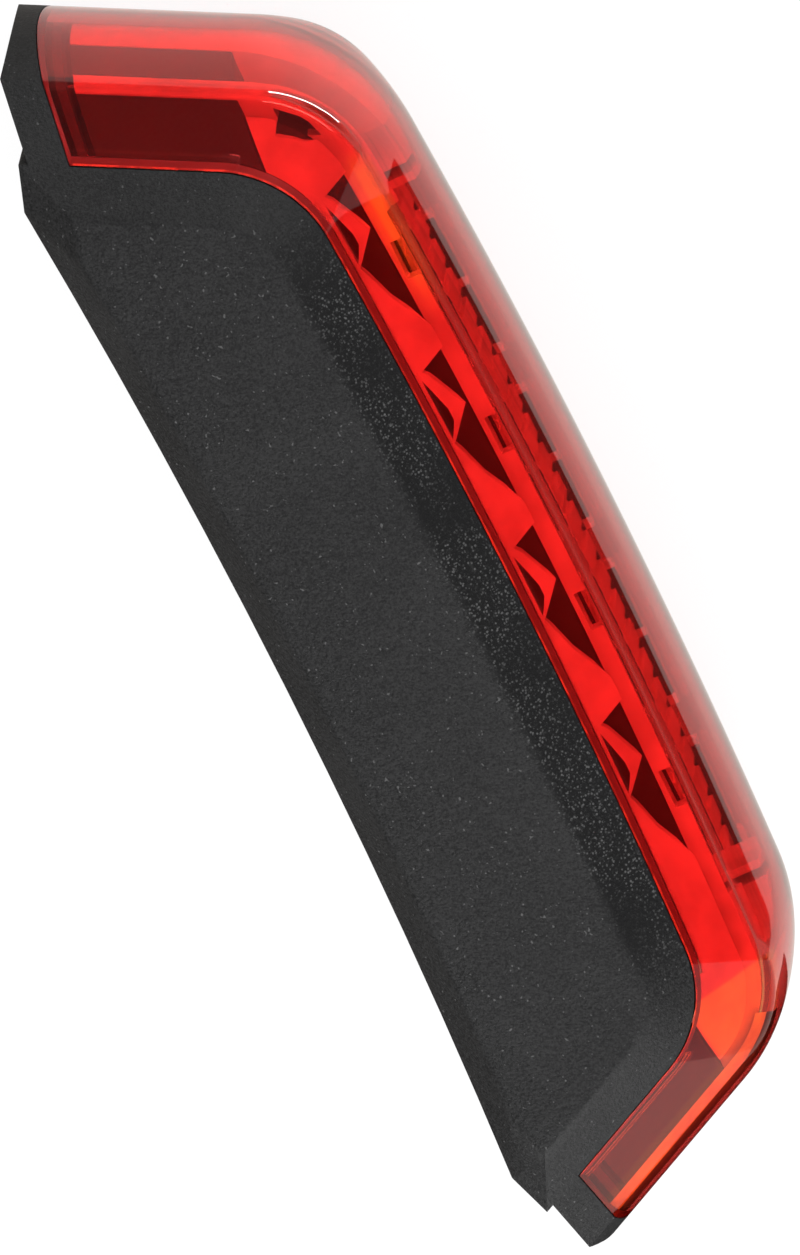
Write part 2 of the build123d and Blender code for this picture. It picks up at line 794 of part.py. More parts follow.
# Reflector: a sloping tray under the side band, with the zigzag pockets
with BuildPart() as reflector:
    low_z = corner_height + band_slope * tray_inset - drop(lens_wall) - tray_gap
    high_z = panel_height - drop(lens_wall) - tray_gap
    for sink, mode in ((0, Mode.ADD), (tray_thickness, Mode.SUBTRACT)):
        foot = band_outline(low_z - sink, tray_inset, lens_back)
        top = panel_edge_outline(high_z - sink, 0, lens_back)
        loft([foot, top], ruled=True, mode=mode)
    panel_prism(seam_gap, lens_back - overrun)
    keep_front(-half_width, half_width, tray_back)
    for start_x in zigzag_starts:
        for shares in (pocket_share, notch_share):
            with BuildSketch(Plane.XY.offset(low_z - tray_thickness)) as pocket:
                Polygon(*[front_point(start_x, *share) for share in shares], align=None)
            extrude(pocket.sketch, amount=panel_height, mode=Mode.SUBTRACT)
    corner_notch(low_z - tray_thickness, panel_height)
finish(reflector.part, "reflector_top", white)
finish(copy_below(reflector.part), "reflector_bottom", white)



def end_strip(low_z, high_z):
    # A strip round both ends, from just under the lens's wall to the inside of the light guide.
    with BuildPart() as strip:
        lens_form(lens_wall + inner_gap, block_back)
        width = overrun + guide_inset + guide_width
        strip_wall(-overrun, width, low_z, high_z, Mode.INTERSECT)
        keep_box(-end_strip_x, end_strip_x, 0, front_depth + overrun, low_z, high_z, Mode.SUBTRACT)
    return strip.part


# Light guide: a bar along the near corner, wider at both ends, with a window at each lamp and a notch
end_strip_x = optic_half_length - guide_width
guide_bottom = guide_top - guide_height
guide_ends = end_strip(guide_bottom, guide_top)
with BuildPart() as guide_tails:
    strip_wall(guide_inset, guide_width + guide_tail_extra, guide_bottom, guide_top)
    keep_box(-half_width, half_width, block_back, block_front, guide_bottom, guide_top)
with BuildPart() as light_guide:
    strip_wall(guide_inset, guide_width, guide_bottom, guide_top)
    keep_front(-half_width, half_width, block_back)
    add(guide_ends)
    add(guide_tails.part)
    corner_notch(guide_bottom, guide_height)
    for start_x in zigzag_starts:
        low = start_x - window_high_share * zigzag_pitch
        high = start_x - window_low_share * zigzag_pitch
        link_depth = front_line((low + high) / 2) - guide_inset - guide_width + guide_link_width
        keep_box(low, high, link_depth, front_depth, 0, panel_height, Mode.SUBTRACT)
finish(light_guide.part, "light_guide_top", red)
finish(copy_below(light_guide.part), "light_guide_bottom", red)

# Front optic: a ribbed plate behind the crown, on a web that reaches back to the carrier, with bars
# that run on round both ends of the lens
end_bars = end_strip(-end_bar_half_height, end_bar_half_height)
with BuildPart() as front_optic:
    strip_wall(optic_inset, optic_plate, -optic_half_height, optic_half_height)
    web_inset = optic_inset + optic_plate
    web_width = panel_front_inset + carrier_gap - seam_gap - web_inset
    strip_wall(web_inset, web_width, -optic_web_half_height, optic_web_half_height)
    keep_front(-optic_half_length, optic_half_length, carrier_back)
    add(end_bars)
    rib_count = int(optic_half_length / optic_rib_pitch)
    for number in range(-rib_count, rib_count + 1):
        x = number * optic_rib_pitch
        face_depth = front_line(x) - optic_inset
        keep_box(
            x - optic_rib_width / 2,
            x + optic_rib_width / 2,
            face_depth - optic_rib_depth,
            front_depth,
            -optic_half_height,
            optic_half_height,
            Mode.SUBTRACT,
        )
finish(front_optic.part, "front_optic", white)

carrier_insets = (panel_front_inset + carrier_gap, panel_end_inset + carrier_gap)
carrier_outer = (*carrier_insets, panel_corner_radius - carrier_gap)
carrier_inner = (
    carrier_insets[0] + carrier_wall,
    carrier_insets[1] + carrier_wall,
    panel_corner_radius - carrier_gap - carrier_wall,
)

# Ledges of the carrier that the reflectors stand on, with a channel outside them for the light guide
with BuildPart() as ledges:
    ledge_inset = guide_inset + guide_width + inner_gap
    ledge_top = corner_height + band_slope * ledge_inset - drop(lens_wall) - tray_gap - tray_thickness
    ledge_bottom = ledge_top - slide_gap - carrier_ledge_thickness
    ledge = wall_outline(ledge_bottom, band_shape(ledge_inset), carrier_inner)
    extrude(ledge, amount=carrier_ledge_thickness)
    floor_top = guide_top - guide_height - slide_gap
    floor_z = floor_top - channel_floor
    strip_wall(ledge_inset, channel_wall, floor_z, ledge_bottom + carrier_ledge_thickness)
    strip_wall(guide_inset, ledge_inset + channel_wall - guide_inset, floor_z, floor_top)
    # Gaps in the channel's front edge, at the lamps and between them
    for start_x in zigzag_starts:
        for low_share, high_share in channel_gap_share:
            low = start_x - high_share * zigzag_pitch
            high = start_x - low_share * zigzag_pitch
            gap_depth = front_line((low + high) / 2) - guide_inset - channel_gap_width
            keep_box(low, high, gap_depth, front_depth, 0, panel_height, Mode.SUBTRACT)
    keep_front(-half_width, half_width, tray_back)
    mirror(ledges.part, about=Plane.XY)

# Carrier: the black wall between the plates, with a window for each lamp
with BuildPart() as carrier:
    wall = wall_outline(-carrier_half_height, carrier_outer, carrier_inner)
    extrude(wall, amount=2 * carrier_half_height)
    keep_front(-half_width, half_width, carrier_back)
    add(ledges.part)
    for lamp_x in lamp_xs:
        with BuildSketch(facing_front(lamp_x, carrier_back, 0)) as window:
            Rectangle(carrier_window, carrier_window)
        extrude(window.sketch, amount=front_depth, mode=Mode.SUBTRACT)
finish(carrier.part, "carrier", black)

# End blocks: black fillings under both ends of the lens, cut back along the light guides
for side, name in ((1, "end_block_left"), (-1, "end_block_right")):
    with BuildPart() as end_block:
        lens_form(lens_wall + inner_gap, block_back)
        panel_prism(inner_gap, lens_back - overrun)
        channel = guide_inset + guide_width + guide_tail_extra + inner_gap
        channel_z = guide_top - guide_height - inner_gap
        for z in (channel_z, -guide_top - inner_gap):
            strip_wall(-overrun, overrun + channel, z, z + guide_height + 2 * inner_gap, Mode.SUBTRACT)
        bar_z = end_bar_half_height + inner_gap
        strip_wall(-overrun, overrun + channel, -bar_z, bar_z, Mode.SUBTRACT)
        low, high = sorted((0, side * half_width * 2))
        keep_box(low, high, block_back, block_front, -panel_height, panel_height)
    finish(end_block.part, name, black)
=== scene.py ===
import bmesh
import bpy
import json
import math
import numpy as np
from mathutils import Matrix, Vector


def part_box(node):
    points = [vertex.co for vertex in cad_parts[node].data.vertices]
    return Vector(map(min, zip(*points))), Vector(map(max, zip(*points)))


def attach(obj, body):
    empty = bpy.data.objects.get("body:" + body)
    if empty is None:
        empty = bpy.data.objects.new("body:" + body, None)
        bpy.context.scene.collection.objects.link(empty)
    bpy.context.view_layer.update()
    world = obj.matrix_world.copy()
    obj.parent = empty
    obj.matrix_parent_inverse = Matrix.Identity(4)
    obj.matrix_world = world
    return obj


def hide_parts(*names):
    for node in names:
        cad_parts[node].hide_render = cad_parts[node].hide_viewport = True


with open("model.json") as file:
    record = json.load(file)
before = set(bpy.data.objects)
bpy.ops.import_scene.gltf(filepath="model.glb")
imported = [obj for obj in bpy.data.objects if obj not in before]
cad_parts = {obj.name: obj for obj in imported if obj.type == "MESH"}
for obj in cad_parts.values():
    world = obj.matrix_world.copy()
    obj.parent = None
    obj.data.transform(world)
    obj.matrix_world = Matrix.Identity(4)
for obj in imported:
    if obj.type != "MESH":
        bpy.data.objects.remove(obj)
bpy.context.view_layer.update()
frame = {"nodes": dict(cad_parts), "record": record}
nodes = frame["nodes"]
mm = 0.001
white = (1, 1, 1, 1)
print("frame loaded:", len(nodes), "nodes")

# the light's outer form, in millimetres, as the CAD has it
form = {
    "halfWidth": 55.8, "frontDepth": 27.8, "frontRadius": 720.0, "slant": math.radians(63.3),
    "corner": 9.5, "crownCorner": 19.0, "rimBack": 2.3, "lensBack": 5.4,
    "cornerHeight": 9.2, "panelHeight": 14.3, "crownBulge": 2.15,
    "panelFront": 5.2, "panelEnd": 5.55, "panelCorner": 10.5,
}
form["slope"] = (form["panelHeight"] - form["cornerHeight"]) / form["panelFront"]


def halfAt(endInset, depth):
    # half the width at a depth: less the end's inset over the sine of its slant, and less the depth
    # past the rim over the slant's tangent
    slant, past = form["slant"], depth - form["rimBack"]
    return form["halfWidth"] - endInset / math.sin(slant) - past / math.tan(slant)


def outlinePoints(frontInset, endInset, corner, counts):
    # plan outline from the +X back, round the front, to the -X back: straight end, corner arc,
    # wide front arc, then the same mirrored; insets and corner radius have one value per row, and
    # the result is rows x points x 2
    slant = form["slant"]
    along = np.array([-math.cos(slant), -math.sin(slant)])
    inward = np.array([-math.sin(slant), math.cos(slant)])
    bendCentre = np.array([0.0, form["frontRadius"] - form["frontDepth"]])
    bend = form["frontRadius"] - frontInset

    def endAt(depth):
        return np.stack([halfAt(endInset, depth), np.full_like(bend, -depth)], -1)

    # the corner's centre is one corner radius inside the end, and a bend less a corner radius from
    # the middle of the front's arc: a quadratic in the step along the end
    lineStart = endAt(form["rimBack"]) + inward * corner[:, None]
    reach = lineStart - bendCentre
    halfB = reach @ along
    step = -halfB + np.sqrt(halfB**2 - (reach**2).sum(-1) + (bend - corner) ** 2)
    centre = lineStart + along * step[:, None]
    outward = centre - bendCentre
    outward /= np.linalg.norm(outward, axis=-1, keepdims=True)
    first = centre - inward * corner[:, None]
    last = centre + outward * corner[:, None]

    endCount, cornerCount, frontCount = counts
    t = np.linspace(0, 1, endCount, endpoint=False)[None, :, None]
    line = endAt(form["lensBack"])[:, None] * (1 - t) + first[:, None] * t
    start = math.atan2(-math.cos(slant), math.sin(slant))
    turn = np.arctan2(outward[:, 1], outward[:, 0]) - start
    angle = start + turn[:, None] * np.linspace(0, 1, cornerCount, endpoint=False)[None]
    arc = centre[:, None] + corner[:, None, None] * np.stack([np.cos(angle), np.sin(angle)], -1)
    start = np.arctan2(last[:, 1] - bendCentre[1], last[:, 0])
    turn = -math.pi / 2 - start
    angle = start[:, None] + turn[:, None] * np.linspace(0, 1, frontCount, endpoint=False)[None]
    front = bendCentre + bend[:, None, None] * np.stack([np.cos(angle), np.sin(angle)], -1)
    half = np.concatenate([line, arc, front], 1)
    middle = np.stack([np.zeros_like(bend), frontInset - form["frontDepth"]], -1)[:, None]
    return np.concatenate([half, middle, half[:, ::-1] * np.array([-1, 1])], 1)


def gridFaces(rows, cols, flip=False, offset=0):
    # quads between neighbouring rows and columns of a grid of points
    index = np.arange(rows * cols).reshape(rows, cols) + offset
    corners = [index[:-1, :-1], index[:-1, 1:], index[1:, 1:], index[1:, :-1]]
    quads = np.stack(corners, -1).reshape(-1, 4)
    return quads[:, ::-1] if flip else quads


def makeMesh(name, points, quads, smoothAngle=40):
    # points in millimetres and quads straight into a mesh, smooth up to an angle
    mesh = bpy.data.meshes.new(name)
    points = np.asarray(points, np.float32) * mm
    quads = np.asarray(quads, np.int32)
    mesh.vertices.add(len(points))
    mesh.vertices.foreach_set("co", points.ravel())
    mesh.loops.add(quads.size)
    mesh.loops.foreach_set("vertex_index", quads.ravel())
    mesh.polygons.add(len(quads))
    mesh.polygons.foreach_set("loop_start", np.arange(0, quads.size, 4, dtype=np.int32))
    mesh.update(calc_edges=True)
    mesh.validate()
    mesh.shade_smooth()
    mesh.set_sharp_from_angle(angle=math.radians(smoothAngle))
    piece = bpy.data.objects.new(name, mesh)
    bpy.context.scene.collection.objects.link(piece)
    return piece


def shell(name, outer, inner, smoothAngle):
    # a closed wall: the outer grid, the inner grid turned round, and strips along the four borders
    rows, cols = outer.shape[:2]
    count = rows * cols
    points = np.concatenate([outer.reshape(-1, 3), inner.reshape(-1, 3)])
    index = np.arange(count).reshape(rows, cols)
    border = np.concatenate([index[0, :-1], index[:-1, -1], index[-1, :0:-1], index[:0:-1, 0]])
    after = np.roll(border, -1)
    rim = np.stack([border, border + count, after + count, after], -1)
    quads = np.concatenate([gridFaces(rows, cols), gridFaces(rows, cols, True, count), rim])
    return makeMesh(name, points, quads, smoothAngle)


def turnOutwards(piece):
    # turns the whole mesh round if the sum of (a x b) . c over its triangles is negative
    mesh = piece.data
    points = np.empty(len(mesh.vertices) * 3)
    mesh.vertices.foreach_get("co", points)
    points = points.reshape(-1, 3)
    mesh.calc_loop_triangles()
    tris = np.empty(len(mesh.loop_triangles) * 3, np.int32)
    mesh.loop_triangles.foreach_get("vertices", tris)
    a, b, c = (points[tris.reshape(-1, 3)[:, i]] for i in range(3))
    if (np.cross(a, b) * c).sum() < 0:
        mesh.flip_normals()
    return piece


def smoothCopy(name, angle=14, mergeWithin=1e-6):
    # a merged copy of a CAD node, so that its curved faces shade smoothly, with the node's body as
    # the record gives it
    mesh = nodes[name].data.copy()
    piece = bpy.data.objects.new(name + "_skin", mesh)
    bpy.context.scene.collection.objects.link(piece)
    work = bmesh.new()
    work.from_mesh(mesh)
    bmesh.ops.remove_doubles(work, verts=work.verts, dist=mergeWithin)
    work.to_mesh(mesh)
    work.free()
    mesh.shade_smooth()
    mesh.set_sharp_from_angle(angle=math.radians(angle))
    record = frame["record"]
    body = next(b for b, members in record["behaviour"]["bodies"].items() if name in members)
    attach(piece, body)
    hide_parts(name)
    next(s["material_slot"] for s in record["subparts"] if s["node"] == name)
    return piece


def wear(piece, *materials):
    # these materials and no others, in this order
    piece.data.materials.clear()
    for material in materials:
        piece.data.materials.append(material)


class Wire:
    # a node's output that adds Math nodes when it is used in a sum
    def __init__(self, recipe, socket):
        self.recipe, self.socket = recipe, socket

    def math(self, operation, *values):
        return self.recipe.node("ShaderNodeMath", {"operation": operation}, dict(enumerate(values)))

    def __add__(self, other):
        return self.math("ADD", self, other)

    def __radd__(self, other):
        return self.math("ADD", other, self)

    def __sub__(self, other):
        return self.math("SUBTRACT", self, other)

    def __rsub__(self, other):
        return self.math("SUBTRACT", other, self)

    def __mul__(self, other):
        return self.math("MULTIPLY", self, other)

    def __rmul__(self, other):
        return self.math("MULTIPLY", other, self)

    def size(self):
        # without its sign
        return self.math("ABSOLUTE", self)

    def clamp(self):
        # held between 0 and 1
        return self.recipe.node("ShaderNodeClamp", {}, {"Value": self})

    def ramp(self, low, high):
        # 0 below low, 1 above high, smooth between
        return self.recipe.node("ShaderNodeMapRange", {"interpolation_type": "SMOOTHSTEP"},
                                {"Value": self, "From Min": low, "From Max": high})

    def band(self, rise, fall):
        # 1 between two ramps, 0 outside them
        return self.ramp(*rise) * (1 - self.ramp(*fall))


class Recipe:
    # one material, or the world, being written
    def __init__(self, name, store=bpy.data.materials, finish="ShaderNodeOutputMaterial"):
        self.made = store.new(name)
        self.made.use_nodes = True
        self.tree = self.made.node_tree
        self.tree.nodes.clear()
        self.finish = self.tree.nodes.new(finish)

    def node(self, kind, settings=None, inputs=None, output=0):
        # settings first, since some of them change the sockets, then values or links
        made = self.tree.nodes.new(kind)
        for key, value in (settings or {}).items():
            setattr(made, key, value)
        for key, value in (inputs or {}).items():
            if isinstance(value, Wire):
                self.tree.links.new(value.socket, made.inputs[key])
            else:
                made.inputs[key].default_value = value
        return Wire(self, made.outputs[output])

    def place(self):
        # Object coordinates
        return self.node("ShaderNodeTexCoord", output="Object")

    def along(self, place, axis):
        # one coordinate of three
        return self.node("ShaderNodeSeparateXYZ", {}, {"Vector": place}, axis)

    def stretch(self, place, scales):
        # each coordinate times its own scale
        return self.node("ShaderNodeVectorMath", {"operation": "MULTIPLY"}, {0: place, 1: scales})

    def noise(self, place, scale, detail, rough):
        # 0 to 1, about 0.5
        inputs = {"Vector": place, "Scale": scale, "Detail": detail, "Roughness": rough}
        return self.node("ShaderNodeTexNoise", {}, inputs)

    def cells(self, place, scale):
        # distance to the middle of the nearest cell
        return self.node("ShaderNodeTexVoronoi", {}, {"Vector": place, "Scale": scale})

    def mix(self, amount, first, second):
        # a colour between two others; these numbers are the Mix node's colour sockets
        inputs = {0: amount, 6: first, 7: second}
        return self.node("ShaderNodeMix", {"data_type": "RGBA"}, inputs, 2)

    def choose(self, amount, first, second):
        # the second shader where amount is 1, the first where it is 0
        return self.node("ShaderNodeMixShader", {}, {0: amount, 1: first, 2: second})

    def ray(self, kind):
        # 1 for rays of this kind
        return self.node("ShaderNodeLightPath", output=kind)

    def bump(self, height, strength, distance):
        # a normal tilted by the height's slope; the distance is what a height of 1 stands for
        inputs = {"Height": height, "Strength": strength, "Distance": distance}
        return self.node("ShaderNodeBump", {}, inputs)

    def principled(self, **inputs):
        # Base_Color stands for the socket Base Color, and so on
        inputs = {key.replace("_", " "): value for key, value in inputs.items()}
        return self.node("ShaderNodeBsdfPrincipled", {}, inputs)

    def shine(self, kind, colour, strength):
        # an Emission or a Background node
        return self.node(kind, {}, {"Color": colour, "Strength": strength})

    def done(self, surface):
        self.tree.links.new(surface.socket, self.finish.inputs["Surface"])
        return self.made


# materials; lengths in them are in metres, a noise is (scale, detail, roughness), a ramp is
# (low, high), and a relief is a bump's (strength, distance)
def insetFromFront(x, y):
    # distance back from the bowed front, seen from above: front depth + y - x^2 / (2 * radius)
    return form["frontDepth"] * mm + y - x * x * (1 / (2 * form["frontRadius"] * mm))


def insetFromEnd(x, y):
    # distance inwards from the slanted end: ((W - |x|) - (depth - back) / tan) * sin of the slant
    slant = form["slant"]
    behind = (y + form["rimBack"] * mm) * (1 / math.tan(slant))
    return (form["halfWidth"] * mm - x.size() + behind) * math.sin(slant)


def sparkMould(name, look):
    # spark-eroded mould finish: fine grains on a dark ground with sparse pale flecks, with coarse
    # grain on the front chamfer, which is rougher; on the chamfer, painted shade makes it darker,
    # as less light falls on it, its stronger mottling is painted shading of its relief by grazing
    # light, and pale cell centres are painted glints; the chamfer is where the inset behind the
    # front lies between two ramps, away from the ends
    m = Recipe(name)
    p = m.place()
    x, y = m.along(p, 0), m.along(p, 1)
    chamfer = insetFromFront(x, y).band(*look["chamfer"]) * (1 - x.size().ramp(*look["chamferEnd"]))
    drift = m.noise(p, *look["drift"])
    coarse = m.noise(p, *look["coarse"])
    grain = m.noise(p, *look["grain"])
    pits = m.cells(p, look["pits"])
    fleck = m.noise(p, *look["flecks"]).ramp(*look["fleckRamp"])
    speck = 1 - m.cells(p, look["specks"]).ramp(*look["speckRamp"])
    patch = drift.ramp(*look["patchRamp"])
    # painted glints: pale specks on the chamfer stand in for grazing light catching its relief
    paintedGlint = speck * chamfer * patch * coarse.ramp(*look["coarseRamp"])
    high = look["heights"]
    height = grain * high["grain"] + pits * high["pits"] + coarse * (high["coarse"] + chamfer)
    # on the chamfer the mottling is stronger: painted shading of its relief by grazing light
    contrast, coarseAndReliefShade = look["contrast"], look["coarseShare"] + chamfer
    tone = (grain - 0.5) * contrast + (coarse - 0.5) * contrast * coarseAndReliefShade + 0.5
    # the chamfer is darker: painted shade, since less light falls on the front chamfer
    tone = tone + (drift - 0.5) * look["driftShare"] - chamfer * look["chamferPaintedShade"]
    # the pale flecks are the finish's own; the pale specks on the chamfer are painted glints
    pale = (fleck * look["fleckShare"] + paintedGlint * look["paintedGlintShare"]).clamp()
    colour = m.mix(tone.clamp(), look["dark"], look["base"])
    colour = m.mix(pale, colour, look["pale"])
    rough = look["roughness"] + (grain - 0.5) * look["uneven"] + chamfer * look["chamferRough"]
    return m.done(m.principled(Base_Color=colour, Roughness=rough,
                               Specular_IOR_Level=look["gloss"],
                               Normal=m.bump(height, *look["relief"])))


# pale is the colour of the flecks and of the chamfer's painted glints; the chamfer's painted shade
# and painted glints have their own shares
housingLook = {
    "dark": (0.004, 0.004, 0.0042, 1), "base": (0.0150, 0.0150, 0.0152, 1),
    "pale": (0.10, 0.10, 0.10, 1), "contrast": 2.6, "roughness": 0.62, "gloss": 0.15,
    "drift": (95.0, 3.0, 0.6), "driftShare": 0.9, "coarseShare": 0.6, "uneven": 0.3,
    "coarse": (2600.0, 2.0, 0.75), "grain": (5200.0, 2.0, 0.75), "pits": 3000.0,
    "relief": (0.8, 0.00008), "heights": {"grain": 0.6, "pits": 0.35, "coarse": 0.5},
    "flecks": (3600.0, 0.0, 0.5), "fleckRamp": (0.785, 0.84), "fleckShare": 0.5,
    "specks": 3300.0, "speckRamp": (0.22, 0.42), "paintedGlintShare": 0.6,
    "patchRamp": (0.35, 0.6), "coarseRamp": (0.38, 0.56),
    "chamfer": ((0.0045, 0.0056), (0.0085, 0.0098)), "chamferEnd": (0.028, 0.038),
    "chamferPaintedShade": 0.7, "chamferRough": 0.25,
}


def clearRed(name, look, clear):
    # clear moulded plastic with a real wall: rays of the lamps pass it as through a red pane; the
    # upper half is more orange at the -X corner and end and along the front near the +X corner, a
    # painted glow standing in for light caught in the corners and reflected there, and the crown
    # has faint dark lines, a painted reflection of the zigzag reflectors inside: noise that changes
    # fast with the height, slowly lengthwise
    m = Recipe(name)
    p = m.place()
    x, y, z = (m.along(p, axis) for axis in range(3))
    glowPlaces = paintedGlowPlaces
    ripple = m.noise(p, *look["ripple"])
    cloud = m.noise(p, *look["cloud"])
    upper = z.ramp(*glowPlaces["above"])
    farCorner = (1 - x.ramp(*glowPlaces["farX"])) * (1 - y.ramp(*glowPlaces["farY"]))
    farStrip = 1 - insetFromEnd(x, y).ramp(*glowPlaces["farStripTo"])
    farStrip = (1 - x.ramp(*glowPlaces["farStripX"])) * farStrip
    nearStrip = insetFromFront(x, y).band(*glowPlaces["nearStrip"]) * x.band(*glowPlaces["nearStripX"])
    far = (farCorner + farStrip).clamp() * upper * (glowPlaces["farLeast"] + cloud * glowPlaces["farCloud"])
    # painted glow: orange where light is caught in the corners and reflected near the +X corner
    warm = (far + nearStrip * upper * glowPlaces["near"]).clamp()
    mirrorNoise = m.noise(m.stretch(p, look["mirrorNoiseScales"]), *look["mirrorNoise"])
    crown = 1 - z.size().ramp(*look["crown"])
    colour = m.mix(warm, look["red"], look["orange"])
    # painted reflection: dark lines on the crown stand in for the zigzag reflectors mirrored in the
    # lens
    paintedReflection = mirrorNoise.ramp(*look["mirrorNoiseRamp"]) * crown * look["paintedReflection"]
    colour = m.mix(paintedReflection, colour, look["reflectedDark"])
    glass = m.principled(Base_Color=colour, Roughness=look["roughness"], IOR=look["ior"],
                         Transmission_Weight=clear, Coat_Weight=look["coat"],
                         Coat_Roughness=look["coatRoughness"], Coat_IOR=look["ior"],
                         Normal=m.bump(ripple, *look["relief"]))
    pane = m.node("ShaderNodeBsdfTransparent", {}, {"Color": look["pane"]})
    return m.done(m.choose(m.ray("Is Shadow Ray"), glass, pane))


# where the lens is painted orange as a glow, standing in for light caught in its corners and
# reflected near the +X corner
paintedGlowPlaces = {
    "above": (0.0072, 0.0086), "farX": (-0.0386, -0.0383), "farY": (-0.0196, -0.0192),
    "farStripX": (-0.034, -0.03), "farStripTo": (0.0018, 0.0022),
    "farLeast": 0.4, "farCloud": 0.5,
    "nearStrip": ((-0.0002, 0.0001), (0.0017, 0.0021)),
    "nearStripX": ((0.022, 0.03), (0.036, 0.039)), "near": 0.75,
}
# the orange is the colour of the painted glow, and the dark red-brown that of the painted
# reflection on the crown
lensLook = {
    "red": (0.68, 0.092, 0.085, 1), "orange": (0.84, 0.32, 0.07, 1),
    "pane": (0.92, 0.355, 0.35, 1), "reflectedDark": (0.30, 0.10, 0.09, 1),
    "ripple": (70.0, 2.0, 0.5), "relief": (0.02, 0.0002), "cloud": (150.0, 2.0, 0.6),
    "mirrorNoiseScales": (25.0, 60.0, 1500.0), "mirrorNoise": (1.0, 2.0, 0.6), "mirrorNoiseRamp": (0.5, 0.72),
    "paintedReflection": 0.0,
    "crown": (0.0075, 0.0088), "roughness": 0.02, "ior": 1.5,
    "coat": 0.35, "coatRoughness": 0.02,
}
innerLook = dict(lensLook, coat=0.0, roughness=0.05, paintedReflection=0.55)
hazeLook = dict(innerLook, red=(0.80, 0.13, 0.09, 1), paintedReflection=0.0)


def glowBar(name, look):
    # a satin strip inside the near corner of the -X end, with a painted glow: its oranges stand in
    # for the light guide's light leaving it there; two oranges by noise
    m = Recipe(name)
    cloud = m.noise(m.place(), *look["cloud"])
    colour = m.mix(cloud.ramp(*look["cloudRamp"]), look["deep"], look["bright"])
    return m.done(m.principled(Base_Color=colour, Roughness=look["roughness"],
                               Normal=m.bump(cloud, *look["relief"])))


glowBarLook = {
    "deep": (0.42, 0.09, 0.03, 1), "bright": (0.58, 0.20, 0.05, 1),
    "cloud": (210.0, 3.0, 0.6), "cloudRamp": (0.3, 0.7), "relief": (0.2, 0.0001),
    "roughness": 0.4,
}


def weldEdgeAndHighlight(name, look):
    # the lens's edges, roughened by the weld that closes them: a thin, uneven light line at their
    # top, beside the panels, times noise, is a painted highlight; deeper down, and at the rear
    # beside the rim, dark
    m = Recipe(name)
    p = m.place()
    height = m.along(p, 2).size()
    melt = m.noise(p, *look["melt"])
    lineFrom = form["panelHeight"] * mm - look["line"]
    # painted highlight: a light line along the top of the edge
    line = height.ramp(lineFrom - look["lineBlur"], lineFrom)
    line = line * (1 - m.along(p, 1).ramp(*look["rear"]))
    share = (look["least"] + melt.ramp(*look["meltRamp"])).clamp()
    colour = m.mix(line * share, look["deep"], look["bright"])
    return m.done(m.principled(Base_Color=colour, Roughness=look["roughness"],
                               Normal=m.bump(melt, *look["relief"])))


# bright is the colour of the painted highlight line
weldAndHighlightLook = {
    "deep": (0.20, 0.014, 0.014, 1), "bright": (0.80, 0.16, 0.07, 1), "roughness": 0.45,
    "melt": (420.0, 3.0, 0.6), "meltRamp": (0.4, 0.66), "least": 0.25, "relief": (0.4, 0.00005),
    "line": 0.00045, "lineBlur": 0.00012, "rear": (-0.0057, -0.0055),
}


def plain(name, base, roughness, metallic=0.0, scale=900.0, depth=0.15, spread=0.25, coat=0.0):
    # moulded or plated finish: two tones by coarse noise, and by fine noise a little relief and
    # uneven roughness
    look = {"cloudScale": scale * 0.2, "detail": (3.0, 0.6), "cloudRamp": (0.3, 0.7),
            "uneven": 0.2, "relief": (depth, 0.00003)}
    m = Recipe(name)
    p = m.place()
    cloud = m.noise(p, look["cloudScale"], *look["detail"])
    grain = m.noise(p, scale, *look["detail"])
    darker = tuple(c * (1 - spread) for c in base)
    colour = m.mix(cloud.ramp(*look["cloudRamp"]), darker + (1,), base + (1,))
    rough = roughness + (grain - 0.5) * look["uneven"]
    return m.done(m.principled(Base_Color=colour, Roughness=rough, Metallic=metallic,
                               Coat_Weight=coat, Normal=m.bump(grain, *look["relief"])))


blackSkin = sparkMould("spark_finish_black", housingLook)
lensRed = clearRed("polished_clear_red", lensLook, 1.0)
lensInside = clearRed("satin_clear_red", innerLook, 0.945)
lensGlowBar = glowBar("orange_painted_glow_bar", glowBarLook)
lensEdgeAndHighlight = weldEdgeAndHighlight("welded_red_edge_painted_highlight", weldAndHighlightLook)
lensHaze = clearRed("hazy_clear_red", hazeLook, 0.78)
lensPaintedShade = plain("gap_maroon", (0.075, 0.008, 0.008), 0.5, scale=400.0, spread=0.6)
whiteGloss = plain("polished_white", (0.85, 0.82, 0.78), 0.2, coat=0.3)
innerBlack = plain("inner_black", (0.007, 0.007, 0.0075), 0.75)
sealRubber = plain("seal_rubber", (0.015, 0.015, 0.016), 0.6)
brass = plain("turned_brass", (0.72, 0.5, 0.2), 0.28, 1.0)
steel = plain("plated_steel", (0.6, 0.6, 0.6), 0.3, 1.0)
can = plain("cell_can", (0.55, 0.56, 0.58), 0.35, 1.0)
boardGreen = plain("solder_mask", (0.02, 0.16, 0.06), 0.35, coat=0.5)
opticPink = plain("optic_satin", (0.82, 0.66, 0.60), 0.35)
guideClear = plain("guide_polished", (0.88, 0.84, 0.78), 0.12, coat=0.5)
lampBody = plain("lamp_body", (0.85, 0.8, 0.5), 0.3)
chipBlack = plain("chip_black", (0.02, 0.02, 0.022), 0.5)
plungerWhite = plain("plunger_white", (0.75, 0.75, 0.72), 0.4)
buttonBlack = plain("button_rubber", (0.03, 0.03, 0.033), 0.6, scale=2500.0, depth=0.3)
print("materials made")

